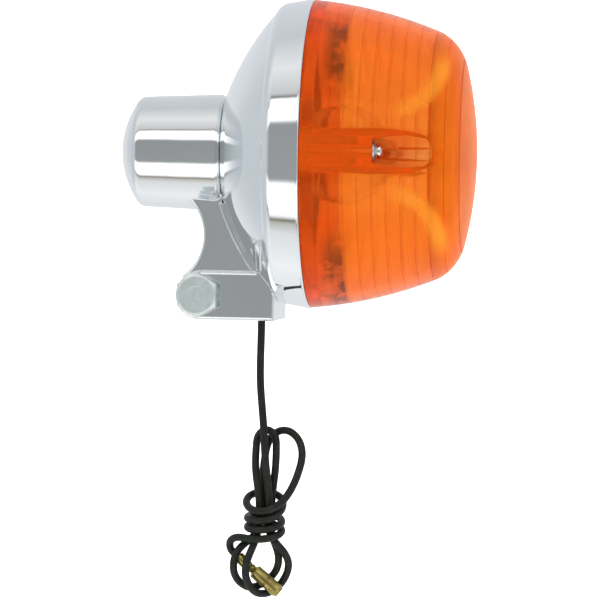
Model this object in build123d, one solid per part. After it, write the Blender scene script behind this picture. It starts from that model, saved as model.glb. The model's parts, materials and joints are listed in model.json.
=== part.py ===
"""Chromed motorcycle turn signal with an amber lens, a bayonet bulb and a pinch clamp for an 8 mm stem.

Each sub-part is modelled in the lens frame: +X is the optical axis, pointing out of the lens, X = 0 is the
plane where the lens meets the bezel, and +Z is up. Every part is then moved as one, so that the origin is
the centre of the stem bore's mouth. All sizes are in millimetres.
"""

import os
from math import asin, cos, pi, radians, sin, sqrt

from build123d import *

# ---------------------------------------------------------------- driving sizes
RIM_R = 40.0  # outside radius of bezel and lens where they meet
GAP = 0.05  # general assembly clearance
ARC_SAG = 1 - cos(pi / 4)  # a rounded corner's middle lies this share of its radius inside the corner

# bell of the bucket, as (x, radius) points
NECK_X, NECK_R = -22.9, 14.6
BELL_START = (-22.6, 15.6)
BELL_MID = (-17.0, 26.9)
BELL_END = (-9.6, 36.8)
SHOULDER_MID = (-8.75, 38.0)
BAND_START = (-7.4, 38.75)
BELL_WALL = 1.6
FLOOR_X = NECK_X + BELL_WALL
LEDGE_X, LEDGE_R = -1.6, 35.4  # seat of reflector rim and gasket
LIP_R = 38.4  # inside radius of the bezel's front lip
RIM_EDGE_R = 0.6  # rounding of the bezel's front edge

# rear housing
BARREL_FRONT_X, BARREL_FRONT_R = NECK_X, 15.1
BARREL_RIM_R = 1.8  # rounding of the barrel's front edge
BARREL_REAR_X, BARREL_REAR_R = -43.9, 14.35
DOME_X = -50.2
BARREL_BORE_R = 12.6
WEB_HALF = 8.6
WEB_TOP = -14.75  # top of the part of the web that meets the bell
BLOCK_HALF = 14.0
BLOCK_TOP, BLOCK_BOTTOM = -30.6, -43.0
BLOCK_FRONT_X = -8.4
EDGE_R = 0.9  # rounding of the casting's edges
SCALLOP_X, SCALLOP_Z, SCALLOP_R = -40.2, -21.6, 12.6  # concave rear edge of the web
SADDLE = 1.1  # lip that hugs the bell

# stem clamp
STEM_X, STEM_R = -19.3, 4.05
STEM_STOP_Z = -31.0
LEAD_HOLE_R = 1.35  # hole that takes the lead down through the clamp block, in front of the stem
SLIT = 2.0
BOLT_X, BOLT_Z = -27.6, -36.6
BOLT_R, BOLT_HOLE_R, BOLT_PITCH = 3.0, 3.2, 1.0
HEX_FLATS = 10.0
HEAD_H, NUT_H, SPRING_WASHER_H = 4.0, 5.0, 1.5
BOLT_END_Y = BLOCK_HALF + NUT_H + 2.0

# lens
LENS_RIM_R = 39.7
LENS_WALL = 2.2
LENS_SIDE_END = (32.6, 31.6)
LENS_SIDE_ARC_R = 108.0
LENS_CORNER_MID = (36.6, 28.1)
LENS_FRONT_START = (38.8, 23.8)
LENS_APEX_X = 41.8
LENS_FOOT_X = 3.0
LENS_FOOT_R = 35.6
RIB_DEPTH = 0.35
SIDE_RIBS = 7
FRONT_RIBS = 6

# lens screws, one on each side
SCREW_Y = 33.6
SCREW_SEAT_X = 17.7
SCREW_R, SCREW_PITCH, SCREW_HEAD_R = 1.25, 0.45, 2.1
SCREW_TIP_X = -8.6
POCKET_R, LENS_BOSS_R, LENS_SCREW_HOLE_R = 4.0, 5.5, 1.4
SCREW_WASHER_H = 0.5
BUCKET_BOSS_R = 4.0

# socket, bulb and their shared station along the axis
SOCKET_MOUTH_X, SOCKET_REAR_X = -14.0, -38.4
SOCKET_R, SOCKET_BORE_R = 8.4, 7.8
FLANGE_R, FLANGE_T = 14.5, 0.8
PIN_X, PIN_R, PIN_TIP_R = -22.0, 1.0, 8.4
PUSH = 1.5  # how far the bulb is pushed in to free its pins
TURN = 20.0  # how far it is then turned, in degrees
BULB_TIP_X = -29.0
BULB_BASE_R = 7.5
BULB_CENTRE_X, BULB_R = 8.8, 13.0
GLASS_T = 0.6

# screws that hold socket, bucket and rear housing together
STACK_SCREW_R, STACK_SCREW_CIRCLE = 1.5, 12.0
STACK_SCREW_ANGLES = (0, 120, 240)  # measured from straight up

# lead
LEAD_R = 1.0
LEAD_DROP_X = -13.2  # where the lead runs down through the clamp block
LEAD_FLOOR_Z = -11.2  # where it passes the bucket's floor
GROMMET_R = 1.7
PIVOT_Z = -48.0  # where the hanging part of the lead bends
LEAD_BEND_R = 3.0  # bends of the lead inside the lamp

PLACE = Pos(-STEM_X, 0, -BLOCK_BOTTOM)


# ---------------------------------------------------------------- helpers
def closed_face(*curves):
    """Face bounded by curves that meet end to end."""
    edges = ShapeList()
    for curve in curves:
        edges += curve.edges()
    return make_face(edges)


def turned(*curves):
    """Solid of revolution about the X axis of a profile drawn as (x, radius)."""
    return revolve(closed_face(*curves), Axis.X)


def dome(edge, apex_x):
    """Arc from a point (x, radius) to the axis at apex_x, with its centre on the axis."""
    edge_x, edge_r = edge
    ball_r = ((edge_x - apex_x) ** 2 + edge_r**2) / (2 * abs(edge_x - apex_x))
    outward = 1 if apex_x > edge_x else -1
    centre_x = apex_x - outward * ball_r
    half = 0.5 * asin(edge_r / ball_r)
    middle = (centre_x + outward * ball_r * cos(half), ball_r * sin(half))
    return ThreePointArc(edge, middle, (apex_x, 0))


def rod_x(radius, x0, x1, y=0.0, z=0.0):
    """Cylinder along X between two stations."""
    return Pos((x0 + x1) / 2, y, z) * Rot(0, 90, 0) * Cylinder(radius, abs(x1 - x0))


def rod_y(radius, y0, y1, x, z):
    """Cylinder along Y between two stations."""
    return Pos(x, (y0 + y1) / 2, z) * Rot(90, 0, 0) * Cylinder(radius, abs(y1 - y0))


def block(x0, x1, y0, y1, z0, z1):
    """Box given by its six faces."""
    return Pos((x0 + x1) / 2, (y0 + y1) / 2, (z0 + z1) / 2) * Box(x1 - x0, y1 - y0, z1 - z0)


def ring_x(outer, inner, x0, x1):
    """Flat ring about the X axis."""
    return rod_x(outer, x0, x1) - rod_x(inner, x0 - 1, x1 + 1)


def around_x(radius, angle):
    """(y, z) of a point on a circle about X; the angle runs from straight up."""
    return radius * sin(radians(angle)), radius * cos(radians(angle))


def thread_profile(radius, pitch, start, length):
    """Zigzag of (station, radius) points for a rolled thread, going from start over length."""
    depth = 0.55 * pitch
    points = []
    for turn in range(int(length / pitch)):
        station = start + turn * pitch
        points += [(station, radius - depth), (station + pitch / 2, radius)]
    return points


def threaded_rod(radius, pitch, plain, length):
    """Rod along +X from 0: a plain shank, then a thread, with a small chamfer at the tip."""
    thread = thread_profile(radius, pitch, plain + pitch, length - plain - 2.5 * pitch)
    points = [(0, 0), (0, radius), (plain, radius)] + thread
    points += [(length - pitch, radius - 0.55 * pitch), (length, radius - pitch), (length, 0)]
    return turned(Polyline(*points, close=True))


def hexagon(flats):
    """Hexagon with two flats facing +X and -X."""
    return Rot(0, 0, 30) * RegularPolygon(flats / 2, 6, major_radius=False)


def cross_recess(size, depth):
    """Two crossed slots cut down from the YZ plane at X = 0 to X = -depth."""
    arm = Pos(-depth / 2, 0, 0) * Box(depth, size, size * 0.22)
    return arm + Rot(90, 0, 0) * arm


# ---------------------------------------------------------------- bucket: bell and bezel
def bell_outside():
    """Solid inside the bell's and bezel's outer skin, filled."""
    return turned(
        Polyline((NECK_X, 0), (NECK_X, NECK_R), BELL_START),
        ThreePointArc(BELL_START, BELL_MID, BELL_END),
        ThreePointArc(BELL_END, SHOULDER_MID, BAND_START),
        Line(BAND_START, (-RIM_EDGE_R, RIM_R)),
        ThreePointArc(
            (-RIM_EDGE_R, RIM_R), (-RIM_EDGE_R * ARC_SAG, RIM_R - RIM_EDGE_R * ARC_SAG), (0, RIM_R - RIM_EDGE_R),
        ),
        Polyline((0, RIM_R - RIM_EDGE_R), (0, 0), (NECK_X, 0)),
    )


def bell_inside():
    """The hollow of the bell, from its floor to the ledge that carries the reflector."""
    inner_start = (FLOOR_X, BELL_START[1] - 0.6)
    inner_mid = (BELL_MID[0] + 1.3, BELL_MID[1] - 0.9)
    inner_end = (BELL_END[0] + 0.9, LEDGE_R)
    return turned(
        Polyline((FLOOR_X, 0), inner_start),
        ThreePointArc(inner_start, inner_mid, inner_end),
        Polyline(inner_end, (1, LEDGE_R), (1, 0), (FLOOR_X, 0)),
    )


def make_bucket():
    """Chromed bell with its bezel, lens-screw bosses, floor holes and stem opening."""
    skin = bell_outside()
    body = skin - bell_inside()
    for side in (-1, 1):
        boss = rod_x(BUCKET_BOSS_R, -14, 0, side * SCREW_Y) & skin
        body += boss
    body -= ring_x(LIP_R, LEDGE_R, LEDGE_X, 1)
    for side in (-1, 1):
        body -= rod_x(SCREW_R + 0.03, SCREW_TIP_X - 0.5, 1, side * SCREW_Y)
    body -= rod_x(SOCKET_R + 0.4, NECK_X - 1, FLOOR_X + 1)
    for angle in STACK_SCREW_ANGLES:
        body -= rod_x(STACK_SCREW_R + 0.2, NECK_X - 1, FLOOR_X + 1, *around_x(STACK_SCREW_CIRCLE, angle))
    body -= rod_x(GROMMET_R + GAP, NECK_X - 1, FLOOR_X + 1, 0, LEAD_FLOOR_Z)
    body -= Pos(LEAD_DROP_X, 0, -30) * Cylinder(LEAD_HOLE_R + 0.25, 12)
    return body


# ---------------------------------------------------------------- rear housing: barrel, web and clamp block
def barrel_outside():
    """Tapered barrel with a domed rear end."""
    rim = BARREL_RIM_R
    corner = (-46.2, 12.8)
    return turned(
        Line((BARREL_FRONT_X, 0), (BARREL_FRONT_X, BARREL_FRONT_R - rim)),
        ThreePointArc(
            (BARREL_FRONT_X, BARREL_FRONT_R - rim),
            (BARREL_FRONT_X - rim * ARC_SAG, BARREL_FRONT_R - rim * ARC_SAG),
            (BARREL_FRONT_X - rim, BARREL_FRONT_R),
        ),
        Line((BARREL_FRONT_X - rim, BARREL_FRONT_R), (BARREL_REAR_X, BARREL_REAR_R)),
        ThreePointArc((BARREL_REAR_X, BARREL_REAR_R), (-45.35, 13.85), corner),
        dome(corner, DOME_X),
        Line((DOME_X, 0), (BARREL_FRONT_X, 0)),
    )


def barrel_inside():
    """Hollow of the barrel."""
    return turned(
        Polyline((BARREL_FRONT_X + 1, 0), (BARREL_FRONT_X + 1, BARREL_BORE_R), (-43.2, BARREL_BORE_R - 0.4)),
        dome((-43.2, BARREL_BORE_R - 0.4), -47.6),
        Line((-47.6, 0), (BARREL_FRONT_X + 1, 0)),
    )


def web_plate():
    """Plate that joins barrel and clamp block, with its scalloped rear edge."""
    reach = 10.2
    half_chord = sqrt(SCALLOP_R**2 - reach**2)
    top = (SCALLOP_X + half_chord, SCALLOP_Z + reach)
    bottom = (SCALLOP_X + half_chord, SCALLOP_Z - reach)
    outline = closed_face(
        ThreePointArc(top, (SCALLOP_X + SCALLOP_R, SCALLOP_Z), bottom),
        Polyline(bottom, (bottom[0], -35), (BLOCK_FRONT_X, -35), (BLOCK_FRONT_X, WEB_TOP), (BARREL_FRONT_X, WEB_TOP)),
        Polyline((BARREL_FRONT_X, WEB_TOP), (BARREL_FRONT_X, -9), (top[0], -9), top),
    )
    plate = extrude(Plane.XZ * outline, WEB_HALF, both=True)
    rear = plate.edges().filter_by(GeomType.CIRCLE)
    return fillet(rear, EDGE_R)


def clamp_block():
    """Block of the pinch clamp, rounded about the bolt at its rear end."""
    nose_r = (BLOCK_TOP - BLOCK_BOTTOM) / 2
    nose_z = (BLOCK_TOP + BLOCK_BOTTOM) / 2
    outline = closed_face(
        Line((BOLT_X, BLOCK_BOTTOM), (BLOCK_FRONT_X, BLOCK_BOTTOM)),
        Line((BLOCK_FRONT_X, BLOCK_BOTTOM), (BLOCK_FRONT_X, BLOCK_TOP)),
        Line((BLOCK_FRONT_X, BLOCK_TOP), (BOLT_X, BLOCK_TOP)),
        ThreePointArc((BOLT_X, BLOCK_TOP), (BOLT_X - nose_r, nose_z), (BOLT_X, BLOCK_BOTTOM)),
    )
    body = extrude(Plane.XZ * outline, BLOCK_HALF, both=True)
    sides = body.edges().group_by(Axis.Y)
    return fillet(sides[0] + sides[-1], EDGE_R)


def saddle_lip(skin):
    """Lip of the casting that hugs the bell below the barrel, a little wider than web and block."""
    band = Pos(-SADDLE, 0, 0) * skin - skin
    narrow = block(-30, BLOCK_FRONT_X, -WEB_HALF - 0.9, WEB_HALF + 0.9, BLOCK_TOP, -13.2)
    wide = block(-30, BLOCK_FRONT_X, -BLOCK_HALF, BLOCK_HALF, -36.5, BLOCK_TOP)
    return band & (narrow + wide)


def make_rear_housing():
    """One casting: barrel for the socket, web, and the clamp block with its bore, slit and bolt hole."""
    skin = bell_outside()
    body = barrel_outside() + web_plate() + clamp_block()
    body += saddle_lip(skin)
    body -= Pos(-0.01, 0, 0) * skin
    hollow = barrel_inside()
    for angle in STACK_SCREW_ANGLES:
        y, z = around_x(STACK_SCREW_CIRCLE, angle)
        hollow -= rod_x(2.9, -33, BARREL_FRONT_X + 2, y, z)
    body -= hollow
    for angle in STACK_SCREW_ANGLES:
        body -= rod_x(STACK_SCREW_R + 0.03, -32, BARREL_FRONT_X + 2, *around_x(STACK_SCREW_CIRCLE, angle))
    body -= Pos(STEM_X, 0, (STEM_STOP_Z + BLOCK_BOTTOM) / 2 - 1) * Cylinder(
        STEM_R, STEM_STOP_Z - BLOCK_BOTTOM + 2
    )
    body -= Pos(LEAD_DROP_X, 0, -37) * Cylinder(LEAD_HOLE_R, 20)
    body -= block(-40, STEM_X, -SLIT / 2, SLIT / 2, BLOCK_BOTTOM - 1, BLOCK_TOP + 0.4)
    body -= rod_y(BOLT_HOLE_R, -20, 20, BOLT_X, BOLT_Z)
    return body.solids().sort_by(SortBy.VOLUME)[-1]


# ---------------------------------------------------------------- pinch bolt, lock washer and nut
def chamfered_hex(height, both_ends):
    """Hexagon bar along +Z from 0, with its corners turned off at the top, or at both ends."""
    bar = extrude(hexagon(HEX_FLATS), height)
    corner_r = HEX_FLATS / sqrt(3)
    flat_r = HEX_FLATS / 2 * 0.93
    slope = (corner_r + 0.2 - flat_r) * 0.55
    low = [(flat_r, 0), (corner_r + 0.2, slope)] if both_ends else [(corner_r + 0.2, 0)]
    points = [(0, 0)] + low + [(corner_r + 0.2, height - slope), (flat_r, height), (0, height)]
    limit = revolve(make_face(Plane.XZ * Polyline(*points, close=True)), Axis.Z)
    return bar & limit


def along_y(solid):
    """Turns a part built along +Z so that it points to -Y, on the bolt's axis."""
    return Pos(BOLT_X, 0, BOLT_Z) * Rot(90, 0, 0) * solid


def make_pinch_bolt():
    """Hex bolt from the near side: the head is outboard of the lock washer."""
    seat = BLOCK_HALF + SPRING_WASHER_H + GAP
    head = Pos(0, 0, seat) * chamfered_hex(HEAD_H, False)
    head -= Pos(0, 0, seat + HEAD_H) * Cylinder(2.2, 0.3)
    length = seat + BOLT_END_Y
    shank = Pos(0, 0, seat) * Rot(0, 90, 0) * threaded_rod(BOLT_R - 0.03, BOLT_PITCH, 20.0, length)
    return along_y(head + shank)


def make_spring_washer():
    """Split lock washer under the bolt's head."""
    ring = Cylinder(5.1, SPRING_WASHER_H - GAP) - Cylinder(3.15, 5)
    ring -= Pos(4, 0, 0) * Rot(25, 0, 0) * Box(4, 0.6, 5)
    return along_y(Pos(0, 0, BLOCK_HALF + GAP + SPRING_WASHER_H / 2) * ring)


def make_pinch_nut():
    """Hex nut on the far side of the clamp."""
    nut = chamfered_hex(NUT_H, True) - Cylinder(BOLT_R + 0.02, 30)
    return along_y(Pos(0, 0, -BLOCK_HALF - GAP - NUT_H) * nut)


# ---------------------------------------------------------------- lens, gasket, reflector
def lens_side_radius(x):
    """Outside radius of the lens's side at a station, on one long arc from the rim to the corner."""
    end_x, end_r = LENS_SIDE_END
    chord = sqrt(end_x**2 + (LENS_RIM_R - end_r) ** 2)
    tilt = asin((LENS_RIM_R - end_r) / chord)
    drop = sqrt(LENS_SIDE_ARC_R**2 - (chord / 2) ** 2)
    centre_x = end_x / 2 - drop * sin(tilt)
    centre_r = (LENS_RIM_R + end_r) / 2 - drop * cos(tilt)
    return centre_r + sqrt(LENS_SIDE_ARC_R**2 - (x - centre_x) ** 2)


def lens_front_x(radius):
    """Station of the lens's domed front at a radius."""
    start_x, start_r = LENS_FRONT_START
    sag = LENS_APEX_X - start_x
    dome_r = (start_r**2 + sag**2) / (2 * sag)
    return LENS_APEX_X - dome_r + sqrt(dome_r**2 - radius**2)


def lens_outside():
    """Solid inside the lens's outer skin, filled."""
    side_mid = (LENS_SIDE_END[0] / 2, lens_side_radius(LENS_SIDE_END[0] / 2))
    front_mid = (lens_front_x(12.0), 12.0)
    return turned(
        Polyline((GAP, 0), (GAP, LENS_RIM_R)),
        ThreePointArc((GAP, LENS_RIM_R), side_mid, LENS_SIDE_END),
        ThreePointArc(LENS_SIDE_END, LENS_CORNER_MID, LENS_FRONT_START),
        ThreePointArc(LENS_FRONT_START, front_mid, (LENS_APEX_X, 0)),
        Line((LENS_APEX_X, 0), (GAP, 0)),
    )


def lens_hollow():
    """Hollow of the lens, with saw-tooth light-spreading ribs on its side and its front."""
    points = [(0, 0), (0, LENS_FOOT_R), (LENS_FOOT_X, LENS_FOOT_R)]
    first, last = 9.7, 30.6
    stations = [first + (last - first) * i / SIDE_RIBS for i in range(SIDE_RIBS + 1)]
    points.append((LENS_FOOT_X, lens_side_radius(LENS_FOOT_X) - LENS_WALL))
    points.append((first, lens_side_radius(first) - LENS_WALL - RIB_DEPTH))
    for here, there in zip(stations, stations[1:]):
        points.append((here, lens_side_radius(here) - LENS_WALL))
        points.append((there, lens_side_radius(there) - LENS_WALL - RIB_DEPTH))
    front_edge = 23.0
    points.append((lens_front_x(front_edge) - LENS_WALL - 0.9, front_edge))
    steps = [front_edge - front_edge * 0.8 * i / FRONT_RIBS for i in range(FRONT_RIBS + 1)]
    for here, there in zip(steps, steps[1:]):
        points.append((lens_front_x(here) - LENS_WALL, here - 0.15))
        points.append((lens_front_x(there) - LENS_WALL - RIB_DEPTH, there))
    points.append((lens_front_x(0) - LENS_WALL, steps[-1] - 0.15))
    points.append((lens_front_x(0) - LENS_WALL, 0))
    return turned(Polyline(*points, close=True))


def make_lens():
    """Amber lens with a thick foot, inner ribs, and a screw pocket down each side."""
    skin = lens_outside()
    body = skin - lens_hollow()
    for side in (-1, 1):
        body += rod_x(LENS_BOSS_R, GAP, 45, side * SCREW_Y) & skin
    for side in (-1, 1):
        body -= rod_x(POCKET_R, SCREW_SEAT_X, 50, side * SCREW_Y)
        body -= rod_x(LENS_SCREW_HOLE_R, -1, SCREW_SEAT_X + 1, side * SCREW_Y)
    return body


def make_gasket():
    """Rubber ring between the lens's foot and the reflector's rim."""
    return ring_x(LIP_R - 0.25, LEDGE_R + 0.4, LEDGE_X + 0.55, 0.0)


def make_reflector():
    """Bright dish round the bulb, its rim clamped under the gasket."""
    thick = 0.5
    inner, outer = (-15.5, 10.2), (LEDGE_X + thick, LEDGE_R - 0.4 - thick)
    body = turned(
        ThreePointArc(inner, (-10.6, 22.4), outer),
        Polyline(outer, (LEDGE_X + thick, LIP_R - 0.2), (LEDGE_X + 0.03, LIP_R - 0.2), (LEDGE_X + 0.03, LEDGE_R - 0.3)),
        ThreePointArc((LEDGE_X + 0.03, LEDGE_R - 0.3), (-11.2, 22.7), (-16.0, 10.2)),
        Line((-16.0, 10.2), inner),
    )
    for side in (-1, 1):
        body -= rod_x(BUCKET_BOSS_R + 0.4, -20, 2, side * SCREW_Y)
    return body.solids().sort_by(SortBy.VOLUME)[-1]


def make_lens_screw(side):
    """Long screw down the side of the lens into the bucket's boss, with an oval cross-recess head."""
    seat = SCREW_SEAT_X + SCREW_WASHER_H + 2 * GAP
    length = seat - SCREW_TIP_X
    shank = Rot(0, 0, 180) * threaded_rod(SCREW_R, SCREW_PITCH, 5.0, length)
    head = turned(
        Polyline((0, 0), (0, SCREW_R + 0.2)),
        ThreePointArc((0, SCREW_R + 0.2), (0.9, SCREW_HEAD_R - 0.1), (1.4, SCREW_HEAD_R)),
        dome((1.4, SCREW_HEAD_R), 2.2),
        Line((2.2, 0), (0, 0)),
    )
    head -= Pos(2.3, 0, 0) * cross_recess(2.6, 1.2)
    return Pos(seat, side * SCREW_Y, 0) * (shank + head)


def make_screw_washer(side):
    """Sealing washer under a lens screw's head."""
    start = SCREW_SEAT_X + GAP
    ring = ring_x(SCREW_HEAD_R + 0.3, SCREW_R + 0.08, start, start + SCREW_WASHER_H)
    return Pos(0, side * SCREW_Y, 0) * ring


# ---------------------------------------------------------------- socket
def make_socket_shell():
    """Bayonet socket: a tube with a mounting flange, two J slots and a rolled-in rear edge."""
    body = ring_x(SOCKET_R, SOCKET_BORE_R, SOCKET_REAR_X, SOCKET_MOUTH_X)
    body += ring_x(SOCKET_R, SOCKET_BORE_R - 0.6, SOCKET_REAR_X, SOCKET_REAR_X + 0.6)
    flange = ring_x(FLANGE_R, SOCKET_R - 0.1, FLOOR_X + 0.02, FLOOR_X + FLANGE_T)
    for angle in STACK_SCREW_ANGLES:
        flange -= rod_x(STACK_SCREW_R + 0.2, FLOOR_X - 1, FLOOR_X + 2, *around_x(STACK_SCREW_CIRCLE, angle))
    flange -= rod_x(3.0, FLOOR_X - 1, FLOOR_X + 2, 0, LEAD_FLOOR_Z)
    body += flange
    slot = PIN_R * 2 + 0.3
    deep = PIN_X - PUSH - PIN_R - 0.15
    reach = PIN_TIP_R + 0.4
    detent_top, hump = PIN_X + PIN_R + 0.1, PIN_X + PIN_R - 0.4
    for base in (0, 180):
        detent = block(deep, detent_top, 6, reach, -slot / 2, slot / 2)
        channel = Rot(TURN, 0, 0) * block(deep, SOCKET_MOUTH_X + 1, 6, reach, -slot / 2, slot / 2)
        cross_section = make_face(Polyline((deep, 6), (deep, reach), (hump, reach), (hump, 6), close=True))
        sweep_round = revolve(cross_section, Axis.X, TURN)
        body -= Rot(base, 0, 0) * (detent + channel + sweep_round)
    return body


def make_contact_carrier():
    """Insulating disc that slides in the socket and carries the centre contact."""
    return ring_x(SOCKET_BORE_R - 0.3, 1.5, BULB_TIP_X - 2.0, BULB_TIP_X - 1.0)


def make_centre_contact():
    """Brass rivet that meets the bulb's tip, with the stripped conductor soldered to its tail."""
    body = turned(
        Polyline((-39.0 + PUSH, 0), (-39.0 + PUSH, 0.5), (BULB_TIP_X - 3.0, 0.5), (BULB_TIP_X - 3.0, 1.9)),
        Polyline((BULB_TIP_X - 3.0, 1.9), (BULB_TIP_X - 2.0 - GAP, 1.9), (BULB_TIP_X - 2.0 - GAP, 1.4)),
        Polyline((BULB_TIP_X - 2.0 - GAP, 1.4), (BULB_TIP_X - 1.0 + GAP, 1.4), (BULB_TIP_X - 1.0 + GAP, 2.4)),
        Polyline((BULB_TIP_X - 1.0 + GAP, 2.4), (BULB_TIP_X - 0.4, 2.4), (BULB_TIP_X - GAP, 1.6)),
        Polyline((BULB_TIP_X - GAP, 1.6), (BULB_TIP_X - GAP, 0), (-39.0 + PUSH, 0)),
    )
    return body


def make_contact_spring():
    """Coil spring that pushes the contact carrier against the bulb."""
    start, end = SOCKET_REAR_X + 2.1, BULB_TIP_X - 2.1
    wire_r, coil_r = 0.35, 5.2
    length = end - start - 2 * wire_r
    path = Helix(pitch=length / 3.5, height=length, radius=coil_r)
    section = Plane(path @ 0, z_dir=path % 0) * Circle(wire_r)
    return Pos(start + wire_r, 0, 0) * Rot(0, 90, 0) * sweep(section, path=path)


def make_socket_insulator():
    """Fibre disc that closes the rear of the socket and lets the lead through."""
    return ring_x(SOCKET_BORE_R - 0.1, LEAD_R + 0.15, SOCKET_REAR_X + 0.65, SOCKET_REAR_X + 1.65)


def make_stack_screws():
    """Three pan-head screws through socket flange and bucket floor into the rear housing."""
    seat = FLOOR_X + FLANGE_T + 0.03
    shank = Rot(0, 0, 180) * threaded_rod(STACK_SCREW_R, 0.5, 1.0, seat + 31.0)
    head = turned(
        Polyline((0, 0), (0, 2.7), (0.7, 2.7)),
        dome((0.7, 2.7), 1.8),
        Line((1.8, 0), (0, 0)),
    )
    head -= Pos(1.9, 0, 0) * cross_recess(3.0, 1.0)
    screw = shank + head
    return [Pos(seat, *around_x(STACK_SCREW_CIRCLE, angle)) * screw for angle in STACK_SCREW_ANGLES]


# ---------------------------------------------------------------- bulb
def make_bulb_base():
    """Thin brass cap of the bulb."""
    rear, front = BULB_TIP_X + 2.0, -12.4
    body = ring_x(BULB_BASE_R, BULB_BASE_R - 0.4, rear, front)
    body += ring_x(BULB_BASE_R, 4.2, rear, rear + 0.5)
    return body


def make_bulb_pins():
    """Two bayonet pins pressed into the cap."""
    return [rod_y(PIN_R, side * (BULB_BASE_R - GAP / 2 + 0.03), side * PIN_TIP_R, PIN_X, 0) for side in (-1, 1)]


def make_bulb_insulator():
    """Black glass button that insulates the bulb's tip contact."""
    rear = BULB_TIP_X + 0.7
    return turned(
        Polyline((rear, 0), (rear, 2.6), (BULB_TIP_X + 1.9, 4.15), (BULB_TIP_X + 3.2, 4.15), (BULB_TIP_X + 3.2, 0)),
        Line((BULB_TIP_X + 3.2, 0), (rear, 0)),
    )


def make_bulb_tip():
    """Solder contact at the rear of the bulb."""
    front = BULB_TIP_X + 0.7 - 0.01
    return turned(
        dome((front, 2.0), BULB_TIP_X),
        Polyline((front, 2.0), (front, 0), (BULB_TIP_X, 0)),
    )


def glass_profile(shrink):
    """Profile of the glass, as curves, taken in by the given thickness."""
    neck_r = 6.9 - shrink
    neck_end = (-10.5, neck_r)
    ball_r = BULB_R - shrink
    join_angle = radians(125)
    join = (BULB_CENTRE_X + ball_r * cos(join_angle), ball_r * sin(join_angle))
    waist = (-5.2, neck_r + 1.75)
    top = (BULB_CENTRE_X + ball_r * cos(radians(50)), ball_r * sin(radians(50)))
    return neck_r, [
        Line((-16.0, neck_r), neck_end),
        ThreePointArc(neck_end, waist, join),
        ThreePointArc(join, top, (BULB_CENTRE_X + ball_r, 0)),
    ]


def make_bulb_glass():
    """Clear glass envelope, open at the neck, where the cap holds it."""
    outer_r, outer = glass_profile(0)
    inner_r, inner = glass_profile(GLASS_T)
    tip = BULB_CENTRE_X + BULB_R
    return turned(*outer, Line((tip, 0), (tip - GLASS_T, 0)), *inner, Line((-16.0, inner_r), (-16.0, outer_r)))


def make_bulb_stem():
    """Glass stem that carries the filament's support wires."""
    return turned(
        Polyline((-15.5, 0), (-15.5, 6.0), (-14.8, 6.1), (-12.0, 2.6), (-2.0, 2.2), (0.5, 1.6), (0.5, 0), (-15.5, 0)),
    )


def make_support_wires():
    """Two nickel wires from the stem to the ends of the filament."""
    wires = []
    for side in (-1, 1):
        path = Polyline((0.55, side * 1.1, 0), (5.0, side * 2.0, 0), (9.8, side * 3.3, 0))
        section = Plane(path @ 0, z_dir=path % 0) * Circle(0.25)
        wires.append(sweep(section, path=path, transition=Transition.ROUND))
    return wires


def make_filament():
    """Coiled tungsten filament across the bulb's axis."""
    half, coil_r, wire_r = 2.9, 0.45, 0.15
    path = Helix(pitch=0.55, height=2 * half, radius=coil_r)
    section = Plane(path @ 0, z_dir=path % 0) * Circle(wire_r)
    return Pos(9.8, -half, 0) * Rot(-90, 0, 0) * sweep(section, path=path)


# ---------------------------------------------------------------- lead and its connector
HANK_CENTRE = (-11.2, 0, -95.4)
HANK_LEAN = 1.0  # degrees from straight down
HANK = Plane(
    origin=HANK_CENTRE,
    x_dir=(cos(radians(HANK_LEAN)), 0, sin(radians(HANK_LEAN))),
    z_dir=(0, -1, 0),
)  # its x runs towards the lens, its y up, and its z towards the bolt's head
WRAPS = 4
WRAP_PITCH = 2.4
WRAP_START_H = 4.55
WRAP_A, WRAP_B = 4.45, 4.35
WRAP_TILT = 1.0
WRAP_SLACK = 3.4
PLUG_START = (-7.1, -9.4, 0.2)
PLUG_ANGLE = -40.5
PLUG_LENGTH = 14.2


def wrap_point(turns):
    """Point on the wraps that bind the hank; the first turn is slack and rides up at the back."""
    angle = 2 * pi * turns
    slack = sin((angle - pi / 2) / 2) ** 2 if 0.25 < turns < 1.25 else 0
    across = -0.25 + (WRAP_A + 0.6 * slack) * cos(angle)
    up = WRAP_START_H - WRAP_PITCH * turns - WRAP_TILT * sin(angle) + WRAP_SLACK * slack
    return across, up, WRAP_B * sin(angle)


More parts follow.
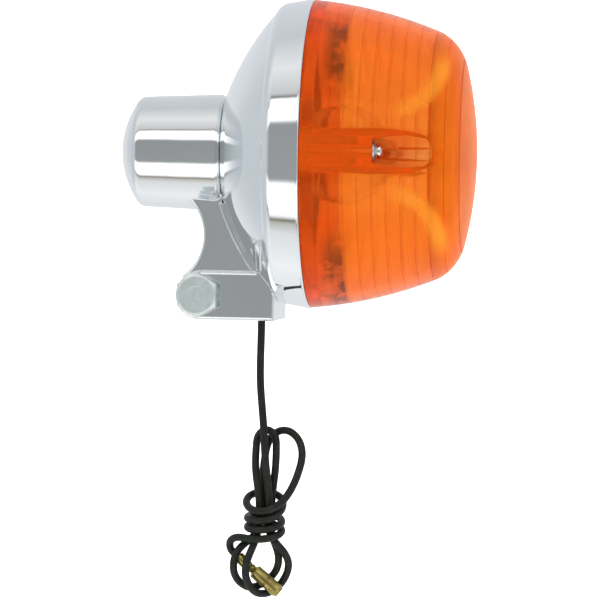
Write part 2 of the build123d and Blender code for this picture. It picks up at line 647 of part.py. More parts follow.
def hank_points():
    """Centre line of the hanging lead in the hank's frame: (across, up, towards the bolt's head)."""
    pivot = HANK.to_local_coords(Vector(LEAD_DROP_X, 0, PIVOT_Z))
    drop = [(pivot.X, pivot.Y, 0), (-1.3, 36, 0.3), (-0.4, 25, 1.2), (0.2, 15, 1.3)]
    core_front_right = [(0.9, 8.0, 1.25), (1.0, 1.0, 1.25)]
    loop_b = [
        (1.5, -3.6, 1.0), (4.0, -7.0, 0.4), (5.8, -11.0, -1.5), (4.6, -15.3, -2.7),
        (2.0, -18.2, -2.8), (-1.0, -19.1, -0.9), (-3.7, -17.0, 2.2), (-4.8, -12.6, 3.7), (-3.7, -8.2, 3.3),
    ]
    core_front_left = [(-2.2, -4.0, 1.5), (-1.5, 0.5, 1.25), (-1.6, 6.5, 1.25)]
    upper_loop = [
        (-2.5, 13.5, 0.6), (-2.5, 19.5, -0.6), (-1.7, 22.6, -1.1), (0.1, 23.6, -1.4),
        (1.9, 22.6, -1.6), (2.6, 19.5, -1.6), (2.4, 13.5, -1.4),
    ]
    core_back_right = [(1.6, 6.5, -1.25), (1.3, 0.0, -1.25)]
    loop_a = [
        (1.6, -4.0, -1.4), (3.1, -9.0, -1.8), (2.4, -13.2, -2.6), (-0.5, -16.2, -3.1),
        (-4.2, -17.5, -1.3), (-7.3, -15.2, 0.6), (-8.1, -11.6, 2.3), (-7.4, -8.4, 2.35), (-5.4, -5.9, 0.8),
    ]
    core_back_left = [(-2.9, -3.6, -0.7), (-1.5, 0.0, -1.25), (-1.1, 5.0, -1.4)]
    big_loop = [
        (-0.5, 17.0, -3.5), (1.3, 21.9, -4.3), (4.9, 23.4, -3.0), (8.2, 21.4, -1.6),
        (9.5, 17.6, -0.4), (8.8, 13.2, 0.9), (7.2, 9.0, 2.2), (5.0, 5.7, 3.5),
    ]
    first, last = 0.22, WRAPS - 0.72
    steps = 8 * WRAPS
    wraps = [wrap_point(first + (last - first) * i / steps) for i in range(steps + 1)]
    tail = [(-4.4, -4.2, 3.8), (-7.2, -4.1, 2.4), (-9.1, -5.4, 1.0), (-9.0, -7.5, 0.25), (-7.9, -8.72, 0.2)]
    return (
        drop + core_front_right + loop_b + core_front_left + upper_loop + core_back_right
        + loop_a + core_back_left + big_loop + wraps + tail + [PLUG_START]
    )


def plug_direction():
    """Unit vector of the connector in the hank's frame."""
    return cos(radians(PLUG_ANGLE)), sin(radians(PLUG_ANGLE)), 0


def make_lead_hanging():
    """Hanging part of the lead, coiled into a tied hank; a ball end sits at the bend."""
    points = [HANK.from_local_coords(Vector(*p)) for p in hank_points()]
    end_dir = HANK.from_local_coords(Vector(*plug_direction())) - HANK.origin
    end_dir = end_dir.normalized()
    points.append(points[-1] + end_dir * 2.8)
    whole = Spline(*points, tangents=[(0, 0, -1), tuple(end_dir)])
    ball = Pos(LEAD_DROP_X, 0, PIVOT_Z) * Sphere(LEAD_R)
    lengths = [ball & block(-30, 0, -5, 5, PIVOT_Z, PIVOT_Z + 5)]
    for start in (0, 0.5):
        path = whole.edge().trim(start, start + 0.5)
        section = Plane(path @ 0, z_dir=path % 0) * Circle(LEAD_R)
        lengths.append(sweep(section, path=path))
    return lengths


def make_lead_inner():
    """Lead from the socket, back round inside the barrel, through the floor and down the clamp block."""
    end_z = PIVOT_Z + LEAD_R + 0.05
    rear_x, front_x = -43.4, -17.8
    corners = [
        (-36.2, 0, 0), (rear_x, 0, 0), (rear_x, 0, LEAD_FLOOR_Z), (front_x, 0, LEAD_FLOOR_Z),
        (front_x, 0, -16.0), (LEAD_DROP_X, 0, -24.5), (LEAD_DROP_X, 0, end_z),
    ]
    path = FilletPolyline(*corners, radius=LEAD_BEND_R)
    section = Plane(path @ 0, z_dir=path % 0) * Circle(LEAD_R)
    tube = sweep(section, path=path)
    return tube - rod_x(0.62, -39.6, -35)


def make_grommet():
    """Rubber grommet round the lead where it passes the bucket's floor."""
    collar = rod_x(2.6, FLOOR_X + 0.03, FLOOR_X + 0.9, 0, LEAD_FLOOR_Z)
    body = rod_x(GROMMET_R, NECK_X + 0.03, FLOOR_X + 0.9, 0, LEAD_FLOOR_Z)
    return collar + body - rod_x(LEAD_R + 0.3, -30, -10, 0, LEAD_FLOOR_Z)


def make_bullet_terminal():
    """Brass male bullet connector crimped on the lead's end."""
    body = turned(
        Polyline(
            (0, 0), (0, 1.5), (2.9, 1.5), (3.3, 1.2), (3.9, 1.2), (4.1, 1.0), (4.4, 1.2), (4.9, 1.2),
            (5.1, 1.0), (5.4, 1.2), (5.8, 1.85), (9.3, 1.85), (9.5, 1.6), (9.8, 1.6), (10.0, 1.85),
            (13.2, 1.85), (PLUG_LENGTH, 1.3), (PLUG_LENGTH, 0), (0, 0),
        )
    )
    body -= rod_x(LEAD_R + 0.2, -1, 2.9)
    start = HANK.from_local_coords(Vector(*PLUG_START))
    direction = HANK.from_local_coords(Vector(*plug_direction())) - HANK.origin
    frame = Plane(origin=start, x_dir=direction.normalized(), z_dir=(0, -1, 0.0))
    return frame.location * body


# ---------------------------------------------------------------- export
PARTS = {
    "rear_housing": make_rear_housing,
    "bucket": make_bucket,
    "lens": make_lens,
    "lens_gasket": make_gasket,
    "reflector": make_reflector,
    "near_lens_screw": lambda: make_lens_screw(-1),
    "far_lens_screw": lambda: make_lens_screw(1),
    "near_screw_washer": lambda: make_screw_washer(-1),
    "far_screw_washer": lambda: make_screw_washer(1),
    "socket_shell": make_socket_shell,
    "socket_insulator": make_socket_insulator,
    "contact_spring": make_contact_spring,
    "contact_carrier": make_contact_carrier,
    "centre_contact": make_centre_contact,
    "stack_screws": make_stack_screws,
    "bulb_base": make_bulb_base,
    "bulb_pins": make_bulb_pins,
    "bulb_insulator": make_bulb_insulator,
    "bulb_tip": make_bulb_tip,
    "bulb_glass": make_bulb_glass,
    "bulb_stem": make_bulb_stem,
    "bulb_support_wires": make_support_wires,
    "bulb_filament": make_filament,
    "pinch_bolt": make_pinch_bolt,
    "pinch_spring_washer": make_spring_washer,
    "pinch_nut": make_pinch_nut,
    "floor_grommet": make_grommet,
    "lead_inner": make_lead_inner,
    "lead_hanging": make_lead_hanging,
    "bullet_terminal": make_bullet_terminal,
}


def main():
    """Builds every sub-part and writes it to parts/."""
    os.makedirs("parts", exist_ok=True)
    for name, make in PARTS.items():
        made = make()
        pieces = made if isinstance(made, list) else [made]
        solids = [PLACE * solid for piece in pieces for solid in piece.solids()]
        shape = solids[0] if len(solids) == 1 else Compound(children=solids)
        export_step(shape, f"parts/{name}.step")


main()
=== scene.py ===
"""Looks of a chromed motorcycle turn signal: chrome, amber lens, zinc hardware and a tied vinyl lead.

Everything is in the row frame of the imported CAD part, in metres: +X out of the lens, +Z up, and the origin
at the mouth of the stem bore.
"""

import json
from math import cos, pi, radians, sin

import bpy
import numpy as np
from mathutils import Matrix, Vector


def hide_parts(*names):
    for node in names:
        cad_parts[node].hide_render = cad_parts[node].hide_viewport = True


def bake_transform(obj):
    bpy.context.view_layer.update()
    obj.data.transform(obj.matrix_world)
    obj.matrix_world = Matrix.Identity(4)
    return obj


MM = 0.001
LENS_FRAME = Vector((19.3, 0, 43.0)) * MM  # where the lens frame's origin lies in the row frame

# the lead
LEAD_R = 1.0 * MM
LEAD_STEP = 0.3  # mm between the rings of its mesh
LEAD_SIDES = 20
HANK_CENTRE = np.array((8.1, 0, -52.4))  # mm, in the row frame
HANK_LEAN = radians(1.0)
WRAP_HALF_WIDTH, WRAP_HALF_DEPTH = 4.45, 4.35  # mm, of the wraps that bind the hank
WRAP_TOP, WRAP_PITCH = 4.55, 2.4  # mm
WRAP_START, WRAP_TURNS, WRAP_STEPS = 0.22, 3.06, 32
PLUG_ANGLE, PLUG_REACH = radians(-40.5), 2.8  # the lead's end, inside the bullet connector; mm

# what shows in the lens, in mm in the lens frame: x along its axis, height up or down from the axis
RING_PITCH = 3.5  # between the fine lines round the lens
DARKER_END_X = 10.0  # the lens is painted darker from the bezel to here
DARK_REFLECTION_SHIFT = 3.4  # the painted dark reflections next to the bezel lie evenly about a line this far below the axis
# centre and radius of the arcs of the painted highlight crescents
HIGHLIGHT_ARC_X, HIGHLIGHT_ARC_HEIGHT, HIGHLIGHT_ARC_R = 21.0, 22.7, 12.6
ABSORPTION = 680  # per metre

# the studio, in metres
FLOOR_Z, BACKDROP_Y, BACKDROP_BEND, BACKDROP_TOP = -0.078, 0.45, 0.25, 1.2
TENT_BANDS = [  # the tent's light by the angle round the X axis: 0 towards the camera, 90 above
    (-180, (0.80, 0.82, 0.84)), (-140, (0.84, 0.86, 0.88)), (-98, (1.0, 1.01, 1.02)),
    (-66, (0.82, 0.83, 0.83)), (-57, (0.55, 0.53, 0.49)), (-55, (0.16, 0.13, 0.08)), (-52, (1.0, 1.0, 1.0)),
    (-47, (1.6, 1.6, 1.6)), (-27, (1.6, 1.6, 1.6)), (-22, (0.36, 0.37, 0.375)), (22, (0.33, 0.34, 0.345)),
    (26, (1.6, 1.6, 1.6)), (41, (1.6, 1.6, 1.6)), (43.5, (0.2, 0.2, 0.2)), (46, (0.66, 0.66, 0.66)),
    (68, (0.90, 0.90, 0.90)), (98, (0.64, 0.66, 0.69)), (150, (0.72, 0.75, 0.79)), (180, (0.80, 0.82, 0.84)),
]
TENT_ENDS = (0.62, 0.66, 0.69)

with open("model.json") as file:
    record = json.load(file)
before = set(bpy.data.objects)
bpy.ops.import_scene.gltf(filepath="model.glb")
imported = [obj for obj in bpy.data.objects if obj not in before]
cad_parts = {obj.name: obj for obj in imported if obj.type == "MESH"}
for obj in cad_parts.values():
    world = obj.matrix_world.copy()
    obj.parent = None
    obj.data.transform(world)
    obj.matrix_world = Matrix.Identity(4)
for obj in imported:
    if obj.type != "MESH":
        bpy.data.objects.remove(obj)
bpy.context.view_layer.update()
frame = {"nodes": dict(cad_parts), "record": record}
nodes = frame["nodes"]


# ---------------------------------------------------------------- node helpers
class Nodes:
    """Short ways to add nodes to a tree."""

    def __init__(self, tree):
        self.tree = tree

    def add(self, kind, **settings):
        node = self.tree.nodes.new(kind)
        for key, value in settings.items():
            setattr(node, key, value)
        return node

    def feed(self, value, socket):
        """Joins an output, or a plain value, to an input."""
        if isinstance(value, bpy.types.NodeSocket):
            self.tree.links.new(value, socket)
        elif isinstance(value, (tuple, list)) and len(value) == 3 and socket.type == "RGBA":
            socket.default_value = (*value, 1)
        else:
            socket.default_value = value

    def math(self, operation, a, b=0.0, c=0.0):
        node = self.add("ShaderNodeMath", operation=operation)
        for socket, value in zip(node.inputs, (a, b, c)):
            self.feed(value, socket)
        return node.outputs["Value"]

    def product(self, first, *others):
        for other in others:
            first = self.math("MULTIPLY", first, other)
        return first

    def remap(self, value, low, high, new_low, new_high, smooth=False):
        node = self.add("ShaderNodeMapRange", interpolation_type="SMOOTHSTEP" if smooth else "LINEAR")
        for socket, number in zip(node.inputs, (value, low, high, new_low, new_high)):
            self.feed(number, socket)
        return node.outputs["Result"]

    def rise(self, value, low, high, smooth=True):
        """0 below a range, 1 above it."""
        return self.remap(value, low, high, 0.0, 1.0, smooth)

    def fall(self, value, low, high, smooth=True):
        """1 below a range, 0 above it."""
        return self.remap(value, low, high, 1.0, 0.0, smooth)

    def ramp(self, value, *stops, smooth=True):
        """Colour ramp; a plain number for a stop's colour is a grey level."""
        node = self.add("ShaderNodeValToRGB")
        if smooth:
            node.color_ramp.interpolation = "EASE"
        elements = node.color_ramp.elements
        while len(elements) < len(stops):
            elements.new(0.5)
        for element, (position, colour) in zip(elements, stops):
            element.position = position
            level = (colour,) * 3 if isinstance(colour, (int, float)) else colour
            element.color = (*level, 1)
        self.feed(value, node.inputs["Fac"])
        return node.outputs["Color"]

    def mix(self, factor, a, b):
        node = self.add("ShaderNodeMix", data_type="RGBA")
        self.feed(factor, node.inputs[0])
        self.feed(a, node.inputs[6])
        self.feed(b, node.inputs[7])
        return node.outputs[2]

    def mix_shaders(self, factor, a, b):
        node = self.add("ShaderNodeMixShader")
        self.feed(factor, node.inputs["Fac"])
        self.feed(a, node.inputs[1])
        self.feed(b, node.inputs[2])
        return node.outputs["Shader"]

    def split(self, vector):
        node = self.add("ShaderNodeSeparateXYZ")
        self.feed(vector, node.inputs[0])
        return node.outputs["X"], node.outputs["Y"], node.outputs["Z"]


class Paint(Nodes):
    """A material under construction, with one Principled shader."""

    def __init__(self, name):
        self.material = bpy.data.materials.new(name)
        self.material.use_nodes = True
        super().__init__(self.material.node_tree)
        self.shader = self.tree.nodes["Principled BSDF"]
        self.output = self.tree.nodes["Material Output"]
        self.coords = self.add("ShaderNodeTexCoord").outputs["Object"]

    def set(self, **inputs):
        """Sets the shader's inputs; base_color stands for Base Color."""
        for key, value in inputs.items():
            label = key.replace("_", " ").title().replace("Ior", "IOR")
            self.feed(value, self.shader.inputs[label])

    def noise(self, scale, detail=3.0, roughness=0.5, stretch=(1, 1, 1)):
        mapping = self.add("ShaderNodeMapping")
        mapping.inputs["Scale"].default_value = stretch
        self.feed(self.coords, mapping.inputs["Vector"])
        node = self.add("ShaderNodeTexNoise")
        self.feed(mapping.outputs["Vector"], node.inputs["Vector"])
        self.feed(scale, node.inputs["Scale"])
        self.feed(detail, node.inputs["Detail"])
        self.feed(roughness, node.inputs["Roughness"])
        return node.outputs["Fac"]

    def place(self, centre):
        """x, y and z of the point from a centre, in mm."""
        shift = self.add("ShaderNodeVectorMath", operation="SUBTRACT")
        self.feed(self.coords, shift.inputs[0])
        shift.inputs[1].default_value = centre
        return [self.math("DIVIDE", part, MM) for part in self.split(shift.outputs["Vector"])]

    def soften(self, radius):
        """Rounds the look of sharp edges."""
        node = self.add("ShaderNodeBevel", samples=6)
        node.inputs["Radius"].default_value = radius
        self.feed(node.outputs["Normal"], self.shader.inputs["Normal"])

    def bump(self, height, distance):
        """Fine relief, on top of any softened edges."""
        node = self.add("ShaderNodeBump")
        self.feed(1.0, node.inputs["Strength"])
        self.feed(distance, node.inputs["Distance"])
        self.feed(height, node.inputs["Height"])
        previous = self.shader.inputs["Normal"].links
        if previous:
            self.feed(previous[0].from_socket, node.inputs["Normal"])
        self.feed(node.outputs["Normal"], self.shader.inputs["Normal"])


def scaled(colour, share):
    """The colour, lighter or darker."""
    return [min(1, level * share) for level in colour]


# ---------------------------------------------------------------- materials
def chrome(name, tint, waviness, polish, edge=0.0):
    """Bright plating: faint smudges in its gloss, and the slight waviness of a buffed surface."""
    p = Paint(name)
    if edge:
        p.soften(edge)
    smudge = p.noise(180, 5, 0.6)
    fine = p.noise(1500, 2, 0.5, stretch=(1, 0.15, 1))
    grime = p.ramp(p.noise(90, 4), (0.35, 0.0), (0.75, 1.0))
    colour = p.mix(p.math("MULTIPLY", grime, 0.25), tint, scaled(tint, 0.9))
    rough = p.math("ADD", p.remap(smudge, 0.35, 0.75, polish, polish + 0.04), p.math("MULTIPLY", fine, 0.02))
    p.set(base_color=colour, metallic=1.0, roughness=rough)
    p.bump(p.noise(55, 2), waviness)
    return p.material


def lens_patterns(p):
    """Where the lens shows its rings, its darker part next to the bezel, painted dark reflections, painted
    highlight crescents, pocket and dome, each 0 to 1.

    The painted highlight crescents and the pocket are on the camera's side only.
    """
    x, y, z = p.place(LENS_FRAME)
    height = p.math("ABSOLUTE", z)
    dark_reflection_height = p.math("ABSOLUTE", p.math("ADD", z, DARK_REFLECTION_SHIFT))
    near = p.fall(y, -12, -4, smooth=False)

    pocket = p.product(p.fall(height, 4.5, 6.5), near, p.fall(x, 24, 31))

    from_line = p.math("ABSOLUTE", p.math("SUBTRACT", p.math("FRACT", p.math("DIVIDE", x, RING_PITCH)), 0.5))
    rings = p.product(p.rise(from_line, 0.46, 0.49), p.math("SUBTRACT", 1.0, pocket))

    # the lens is painted darker next to the bezel
    darker_by_bezel = p.fall(x, DARKER_END_X - 0.2, DARKER_END_X + 0.2)
    # painted dark reflections: mottled dark patches next to the bezel, above and below the axis
    painted_dark_reflections = p.product(
        p.rise(x, 3.5, 7.5, smooth=False),
        p.fall(x, DARKER_END_X - 0.2, DARKER_END_X + 0.4, smooth=False),
        p.rise(dark_reflection_height, 15, 24, smooth=False),
        p.fall(dark_reflection_height, 34, 38, smooth=False),
        p.rise(p.noise(130, 5, 0.7), 0.42, 0.5, smooth=False),
    )

    # painted highlight: light crescents above and below the axis, on the camera's side only
    from_x, from_height = p.math("SUBTRACT", x, HIGHLIGHT_ARC_X), p.math("SUBTRACT", height, HIGHLIGHT_ARC_HEIGHT)
    squares = p.math("ADD", p.product(from_x, from_x), p.product(from_height, from_height))
    from_arc = p.math("ABSOLUTE", p.math("SUBTRACT", p.math("SQRT", squares), HIGHLIGHT_ARC_R))
    painted_highlights = p.product(p.fall(from_arc, 0.6, 3.2), p.rise(x, 19, 27), p.fall(height, 20, 27), near)

    dome = p.rise(x, 29, 36)
    return rings, darker_by_bezel, painted_dark_reflections, painted_highlights, pocket, dome


def amber(name):
    """Amber moulding: mostly clear, with its colour in its depth, and part a soft glow from within."""
    p = Paint(name)
    rings, darker_by_bezel, painted_dark_reflections, painted_highlights, pocket, dome = lens_patterns(p)
    swirl = p.noise(70, 3)

    tint = p.ramp(swirl, (0.3, (1.0, 0.90, 0.80)), (0.7, (1.0, 0.95, 0.90)))
    tint = p.mix(p.math("MULTIPLY", rings, 0.6), tint, (0.86, 0.55, 0.4))
    # the clear part's tint, painted darker next to the bezel
    tint = p.mix(p.math("MULTIPLY", darker_by_bezel, 0.7), tint, (0.93, 0.70, 0.6))
    # painted dark reflections darken the clear part's tint
    tint = p.mix(p.math("MULTIPLY", painted_dark_reflections, 0.7), tint, (0.36, 0.26, 0.2))
    p.set(
        base_color=tint, roughness=p.remap(p.noise(240, 3), 0.3, 0.7, 0.03, 0.07), ior=1.49,
        transmission_weight=1.0, specular_ior_level=0.3, specular_tint=(1.0, 0.42, 0.08),
    )
    p.bump(p.noise(160, 2), 0.00003)

    body = p.ramp(swirl, (0.3, (0.86, 0.16, 0.008)), (0.7, (0.95, 0.21, 0.012)))
    # the glow layer, painted darker next to the bezel
    body = p.mix(darker_by_bezel, body, (0.74, 0.09, 0.008))
    body = p.mix(rings, body, (0.55, 0.05, 0.008))
    # painted dark reflections darken the glow layer
    body = p.mix(painted_dark_reflections, body, (0.12, 0.03, 0.01))
    body = p.mix(pocket, body, (0.95, 0.14, 0.010))
    # painted highlight crescents in light orange
    body = p.mix(painted_highlights, body, (1.0, 0.34, 0.03))
    glow = p.add("ShaderNodeBsdfPrincipled")
    for label, value in {"Base Color": body, "Roughness": 0.5, "Specular IOR Level": 0.0}.items():
        p.feed(value, glow.inputs[label])

    share = 0.3
    # more of the glow layer on the rings, the front dome, the pocket and the painted highlight crescents
    for pattern, more in ((rings, 0.2), (dome, 0.32), (pocket, 0.12), (painted_highlights, 0.13)):
        share = p.math("MULTIPLY_ADD", pattern, more, share)
    surface = p.mix_shaders(share, p.shader.outputs["BSDF"], glow.outputs["BSDF"])
    p.feed(surface, p.output.inputs["Surface"])

    depth = p.add("ShaderNodeVolumeAbsorption")
    p.feed((0.988, 0.60, 0.0), depth.inputs["Color"])
    p.feed(ABSORPTION, depth.inputs["Density"])
    p.feed(depth.outputs["Volume"], p.output.inputs["Volume"])
    return p.material


def zinc(name, tint=(0.66, 0.73, 0.71)):
    """Zinc plated steel: crystalline mottling and faint stains."""
    p = Paint(name)
    p.soften(0.00025)
    mottling = p.noise(900, 4, 0.65)
    colour = p.ramp(mottling, (0.25, scaled(tint, 0.93)), (0.75, scaled(tint, 1.06)))
    stain = p.ramp(p.noise(140, 3), (0.55, 0.0), (0.8, 1.0))
    colour = p.mix(p.math("MULTIPLY", stain, 0.2), colour, [c * w for c, w in zip(tint, (0.9, 0.86, 0.72))])
    p.set(base_color=colour, metallic=0.75, roughness=p.remap(mottling, 0.2, 0.8, 0.3, 0.45))
    p.bump(mottling, 0.00001)
    return p.material


def brass(name, tint, dull):
    """Brass with tarnish in patches and drawn lines."""
    p = Paint(name)
    patch = p.noise(450, 5, 0.6)
    colour = p.ramp(patch, (0.3, scaled(tint, 0.62)), (0.65, tint))
    lines = p.noise(2600, 2, 0.5, stretch=(0.1, 1, 1))
    p.set(base_color=colour, metallic=1.0, roughness=p.remap(patch, 0.2, 0.8, dull + 0.12, dull))
    p.bump(lines, 0.00001)
    return p.material


def vinyl(name):
    """Nearly black lead insulation, with a soft sheen and faint handling marks."""
    p = Paint(name)
    dust = p.ramp(p.noise(350, 4, 0.6), (0.4, 0.0), (0.8, 1.0))
    colour = p.mix(p.math("MULTIPLY", dust, 0.5), (0.010, 0.012, 0.009), (0.030, 0.033, 0.026))
    p.set(base_color=colour, roughness=p.remap(p.noise(600, 3), 0.3, 0.7, 0.36, 0.5), specular_ior_level=0.25)
    p.bump(p.noise(1400, 3), 0.00003)
    return p.material


def rubber(name):
    """Matt black rubber with moulding grain."""
    p = Paint(name)
    grain = p.noise(2200, 3)
    p.set(base_color=p.ramp(grain, (0.3, 0.012), (0.7, 0.03)), roughness=0.62)
    p.bump(grain, 0.00004)
    return p.material


def fibre(name):
    """Pressed fibre board."""
    p = Paint(name)
    threads = p.noise(1600, 4, 0.6, stretch=(1, 4, 1))
    p.set(base_color=p.ramp(threads, (0.3, (0.10, 0.04, 0.018)), (0.7, (0.24, 0.11, 0.05))), roughness=0.7)
    p.bump(threads, 0.00005)
    return p.material


def glass(name):
    """Clear bulb glass, very slightly uneven."""
    p = Paint(name)
    tint = p.ramp(p.noise(60), (0.3, 0.97), (0.7, 1.0))
    p.set(base_color=tint, roughness=0.02, ior=1.45, transmission_weight=1.0)
    p.bump(p.noise(120, 2), 0.0001)
    return p.material


def black_glass(name):
    """Black vitrified insulator."""
    p = Paint(name)
    p.set(base_color=p.ramp(p.noise(700), (0.3, 0.004), (0.7, 0.02)), roughness=0.16)
    p.bump(p.noise(300), 0.00006)
    return p.material


MATERIALS = {
    "chrome_cast": chrome("chrome_cast", (0.84, 0.86, 0.87), waviness=0.00012, polish=0.05, edge=0.0005),
    "chrome_shell": chrome("chrome_shell", (0.86, 0.885, 0.90), waviness=0.00006, polish=0.025, edge=0.0003),
    "amber_lens": amber("amber_lens"),
    "gasket_rubber": rubber("gasket_rubber"),
    "reflector_mirror": chrome("reflector_mirror", (0.86, 0.86, 0.84), waviness=0.0001, polish=0.08),
    "plated_screw": chrome("plated_screw", (0.88, 0.88, 0.86), waviness=0.00003, polish=0.12),
    "plated_washer": zinc("plated_washer", (0.70, 0.70, 0.68)),
    "zinc_socket": zinc("zinc_socket", (0.62, 0.62, 0.58)),
    "fibre": fibre("fibre"),
    "spring_steel": zinc("spring_steel", (0.50, 0.50, 0.50)),
    "contact_brass": brass("contact_brass", (0.74, 0.56, 0.24), dull=0.22),
    "zinc_hardware": zinc("zinc_hardware"),
    "bulb_cap_brass": brass("bulb_cap_brass", (0.70, 0.62, 0.40), dull=0.2),
    "black_insulator": black_glass("black_insulator"),
    "solder": zinc("solder", (0.55, 0.55, 0.53)),
    "clear_glass": glass("clear_glass"),
    "nickel_wire": zinc("nickel_wire", (0.55, 0.52, 0.44)),
    "tungsten": zinc("tungsten", (0.25, 0.25, 0.26)),
    "lead_insulation": vinyl("lead_insulation"),
    "terminal_brass": brass("terminal_brass", (0.50, 0.41, 0.13), dull=0.28),
}
for part in frame["record"]["subparts"]:
    mesh = nodes[part["node"]].data
    mesh.materials.clear()
    mesh.materials.append(MATERIALS[part["material_slot"]])


# ---------------------------------------------------------------- lead
def mesh_object(name, verts, faces):
    """Smooth-shaded mesh object."""
    mesh = bpy.data.meshes.new(name)
    mesh.from_pydata(verts, [], faces)
    mesh.polygons.foreach_set("use_smooth", [True] * len(mesh.polygons))
    obj = bpy.data.objects.new(name, mesh)
    bpy.context.scene.collection.objects.link(obj)
    return obj


def smooth_path(points, start_dir, end_dir, step):
    """Cubic spline through points (mm), with given end directions, sampled about every step."""
    p = np.array(points, float)
    gap = np.linalg.norm(np.diff(p, axis=0), axis=1)
    n = len(p)
    matrix, target = np.zeros((n, n)), np.zeros((n, 3))
    matrix[0, 0] = matrix[-1, -1] = 1
    target[0], target[-1] = start_dir, end_dir
    for i in range(1, n - 1):
        a, b = gap[i - 1], gap[i]
        matrix[i, i - 1 : i + 2] = b, 2 * (a + b), a
        target[i] = 3 * (b * (p[i] - p[i - 1]) / a + a * (p[i + 1] - p[i]) / b)
    slope = np.linalg.solve(matrix, target)
    out = []
    for i, span in enumerate(gap):
        count = max(2, int(span / step))
        t = np.arange(count)[:, None] / count
        out.append(
            (2 * t**3 - 3 * t**2 + 1) * p[i] + (t**3 - 2 * t**2 + t) * span * slope[i]
            + (3 * t**2 - 2 * t**3) * p[i + 1] + (t**3 - t**2) * span * slope[i + 1]
        )
    return np.vstack(out + [p[-1:]])


def tube_mesh(name, path, radius, sides):
    """Closed tube along a path of points (metres), its rings carried along without twist."""
    ahead = np.gradient(path, axis=0)
    ahead /= np.linalg.norm(ahead, axis=1)[:, None]
    side = np.cross(ahead[0], (0.3, 1, 0.2))  # any direction across the start
    side /= np.linalg.norm(side)
    angles = np.linspace(0, 2 * pi, sides, endpoint=False)
    rings = []
    for centre, direction in zip(path, ahead):
        side = side - direction * (side @ direction)
        side /= np.linalg.norm(side)
        other = np.cross(direction, side)
        rings.append(centre + radius * (np.outer(np.cos(angles), side) + np.outer(np.sin(angles), other)))
    faces = []
    for i in range(len(path) - 1):
        for k in range(sides):
            m = (k + 1) % sides
            faces.append((i * sides + k, i * sides + m, (i + 1) * sides + m, (i + 1) * sides + k))
    faces.append(tuple(reversed(range(sides))))
    faces.append(tuple((len(path) - 1) * sides + k for k in range(sides)))
    return mesh_object(name, np.vstack(rings).tolist(), faces)


def wrap_point(turns):
    """Point on the wraps that bind the hank, in the hank's own axes. The first full turn is slacker."""
    angle = 2 * pi * turns
    slack = sin((angle - pi / 2) / 2) ** 2 if 0.25 < turns < 1.25 else 0
    across = -0.25 + (WRAP_HALF_WIDTH + 0.6 * slack) * cos(angle)
    up = WRAP_TOP - WRAP_PITCH * turns - sin(angle) + 3.4 * slack
    return across, up, WRAP_HALF_DEPTH * sin(angle)


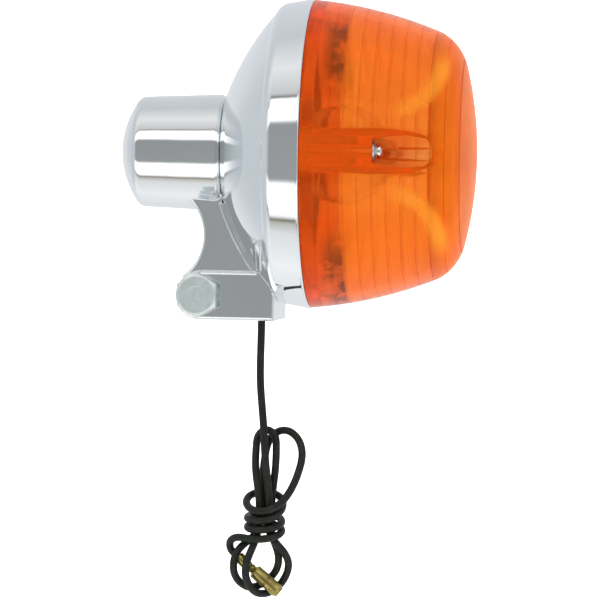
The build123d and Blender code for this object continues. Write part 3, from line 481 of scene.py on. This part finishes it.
def lead_points():
    """Centre line of the whole lead, in mm in the row frame, and the direction of its end."""
    inside = [  # x and z in the lens frame: out of the socket's rear, forward under it, down the clamp block
        (-36.2, 0), (-38.5, 0), (-40.4, 0), (-42.52, -0.88), (-43.4, -3.0), (-43.4, -5.6), (-43.4, -8.2),
        (-42.52, -10.32), (-40.4, -11.2), (-34.0, -11.2), (-27.0, -11.2), (-20.8, -11.2), (-18.68, -12.08),
        (-17.8, -14.2), (-17.6, -16.1), (-15.5, -20.25), (-13.4, -24.4), (-13.2, -26.0), (-13.2, -32.0),
        (-13.2, -40.0), (-13.2, -48.0),
    ]
    points = [np.array((x, 0, z)) + np.array(LENS_FRAME) / MM for x, z in inside]

    # the hank, in its own axes: across, up and towards the camera; first down through the wraps
    hank = [(-1.3, 36, 0.3), (-0.4, 25, 1.2), (0.2, 15, 1.3), (0.9, 8.0, 1.25), (1.0, 1.0, 1.25)]
    hank += [  # large lower loop
        (1.5, -3.6, 1.0), (4.0, -7.0, 0.4), (5.8, -11.0, -1.5), (4.6, -15.3, -2.7), (2.0, -18.2, -2.8),
        (-1.0, -19.1, -0.9), (-3.7, -17.0, 2.2), (-4.8, -12.6, 3.7), (-3.7, -8.2, 3.3),
    ]
    hank += [(-2.2, -4.0, 1.5), (-1.5, 0.5, 1.25), (-1.6, 6.5, 1.25)]  # up through the wraps
    hank += [  # narrow upper loop, and down through the wraps
        (-2.5, 13.5, 0.6), (-2.5, 19.5, -0.6), (-1.7, 22.6, -1.1), (0.1, 23.6, -1.4),
        (1.9, 22.6, -1.6), (2.6, 19.5, -1.6), (2.4, 13.5, -1.4), (1.6, 6.5, -1.25), (1.3, 0.0, -1.25),
    ]
    hank += [  # lower loop to the left
        (1.6, -4.0, -1.4), (3.1, -9.0, -1.8), (2.4, -13.2, -2.6), (-0.5, -16.2, -3.1), (-4.2, -17.5, -1.3),
        (-7.3, -15.2, 0.6), (-8.1, -11.6, 2.3), (-7.4, -8.4, 2.35), (-5.4, -5.9, 0.8),
    ]
    hank += [(-2.9, -3.6, -0.7), (-1.5, 0.0, -1.25), (-1.1, 5.0, -1.4)]  # up through the wraps
    hank += [  # wide upper loop, coming round to the front
        (-0.5, 17.0, -3.5), (1.3, 21.9, -4.3), (4.9, 23.4, -3.0), (8.2, 21.4, -1.6),
        (9.5, 17.6, -0.4), (8.8, 13.2, 0.9), (7.2, 9.0, 2.2), (5.0, 5.7, 3.5),
    ]
    hank += [wrap_point(WRAP_START + WRAP_TURNS * i / WRAP_STEPS) for i in range(WRAP_STEPS + 1)]
    hank += [  # tail, to the bullet connector
        (-4.4, -4.2, 3.8), (-7.2, -4.1, 2.4), (-9.1, -5.4, 1.0), (-9.0, -7.5, 0.25), (-7.9, -8.72, 0.2),
        (-7.1, -9.4, 0.2),
    ]
    plug = np.array((cos(PLUG_ANGLE), sin(PLUG_ANGLE), 0))
    hank.append(tuple(np.array(hank[-1]) + PLUG_REACH * plug))

    axes = np.array(((cos(HANK_LEAN), 0, sin(HANK_LEAN)), (-sin(HANK_LEAN), 0, cos(HANK_LEAN)), (0, -1, 0)))
    return points + [HANK_CENTRE + np.array(p) @ axes for p in hank], plug @ axes


def make_lead():
    """One unbroken lead in place of the two CAD lengths."""
    points, plug = lead_points()
    path = smooth_path(points, (-1, 0, 0), tuple(plug), LEAD_STEP)
    lead = tube_mesh("lead", path * MM, LEAD_R, LEAD_SIDES)
    lead.data.materials.append(MATERIALS["lead_insulation"])
    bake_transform(lead)
    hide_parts("lead_inner", "lead_hanging")


make_lead()


# ---------------------------------------------------------------- studio
def band_world():
    """White tent with a grey opening towards the camera and two bright strips beside it.

    The light depends on the angle round the X axis and fades to pale grey at the ends. Where the camera sees
    past the backdrop, the tent is plain white.
    """
    world = bpy.data.worlds.new("studio")
    world.use_nodes = True
    w = Nodes(world.node_tree)
    x, y, z = w.split(w.add("ShaderNodeTexCoord").outputs["Generated"])
    angle = w.math("ARCTAN2", z, w.math("MULTIPLY", y, -1))
    stops = [((degrees + 180) / 360, colour) for degrees, colour in TENT_BANDS]
    bands = w.ramp(w.remap(angle, -pi, pi, 0.0, 1.0), *stops, smooth=False)
    light = w.mix(w.rise(w.math("ABSOLUTE", x), 0.62, 0.93), bands, TENT_ENDS)
    seen = w.mix(w.add("ShaderNodeLightPath").outputs["Is Camera Ray"], light, (1, 1, 1))
    w.feed(seen, w.tree.nodes["Background"].inputs["Color"])
    bpy.context.scene.world = world


def make_floor():
    """Pale floor that curves up into a backdrop.

    It isn't seen in reflections, which come from the tent, and it's clear from behind and below.
    """
    profile = [(-1.2, FLOOR_Z), (BACKDROP_Y, FLOOR_Z)]
    for angle in range(6, 91, 6):
        turn = radians(angle)
        profile.append((BACKDROP_Y + BACKDROP_BEND * sin(turn), FLOOR_Z + BACKDROP_BEND * (1 - cos(turn))))
    profile.append((BACKDROP_Y + BACKDROP_BEND, BACKDROP_TOP))
    verts = [(x, y, z) for y, z in profile for x in (-1.5, 1.5)]
    faces = [(2 * i, 2 * i + 1, 2 * i + 3, 2 * i + 2) for i in range(len(profile) - 1)]
    floor = mesh_object("floor", verts, faces)
    p = Paint("pale_floor")
    p.set(base_color=(0.93, 0.93, 0.93), roughness=0.9, emission_color=(1, 1, 1), emission_strength=0.42)
    behind = p.add("ShaderNodeNewGeometry").outputs["Backfacing"]
    clear = p.add("ShaderNodeBsdfTransparent").outputs["BSDF"]
    p.feed(p.mix_shaders(behind, p.shader.outputs["BSDF"], clear), p.output.inputs["Surface"])
    floor.data.materials.append(p.material)
    floor.visible_glossy = False


def add_lamp(name, place, target, size, power):
    """Soft area lamp aimed at a point."""
    data = bpy.data.lights.new(name, "AREA")
    data.shape = "RECTANGLE"
    data.size, data.size_y = size
    data.energy = power
    lamp = bpy.data.objects.new(name, data)
    lamp.location = place
    lamp.rotation_euler = (Vector(target) - Vector(place)).to_track_quat("-Z", "Y").to_euler()
    lamp.visible_glossy = False
    bpy.context.scene.collection.objects.link(lamp)


def make_camera():
    """Camera a little towards the lens's front and just above level, 0.7 m away."""
    aim = LENS_FRAME + Vector((-3.25, 0, -37.8)) * MM
    azimuth, elevation, roll = radians(6.3), radians(1.5), radians(1.05)
    distance, width = 0.7, 0.1554  # width of the view at the aim
    back = Vector((sin(azimuth) * cos(elevation), -cos(azimuth) * cos(elevation), sin(elevation)))
    data = bpy.data.cameras.new("camera")
    data.sensor_width = 36
    data.lens = data.sensor_width * distance / width
    data.clip_start = 0.01
    camera = bpy.data.objects.new("camera", data)
    turn = (-back).to_track_quat("-Z", "Y").to_matrix().to_4x4()
    camera.matrix_world = Matrix.Translation(aim + back * distance) @ turn @ Matrix.Rotation(roll, 4, "Z")
    bpy.context.scene.collection.objects.link(camera)
    bpy.context.scene.camera = camera


band_world()
make_floor()
add_lamp("key", place=(-0.3, -0.4, 0.7), target=(0, 0, 0), size=(0.5, 0.5), power=2)
add_lamp("backdrop_wash", place=(0, 0.1, 0.9), target=(0, 0.55, 0.1), size=(1.2, 0.4), power=6)
make_camera()
bpy.context.scene.view_settings.view_transform = "Standard"
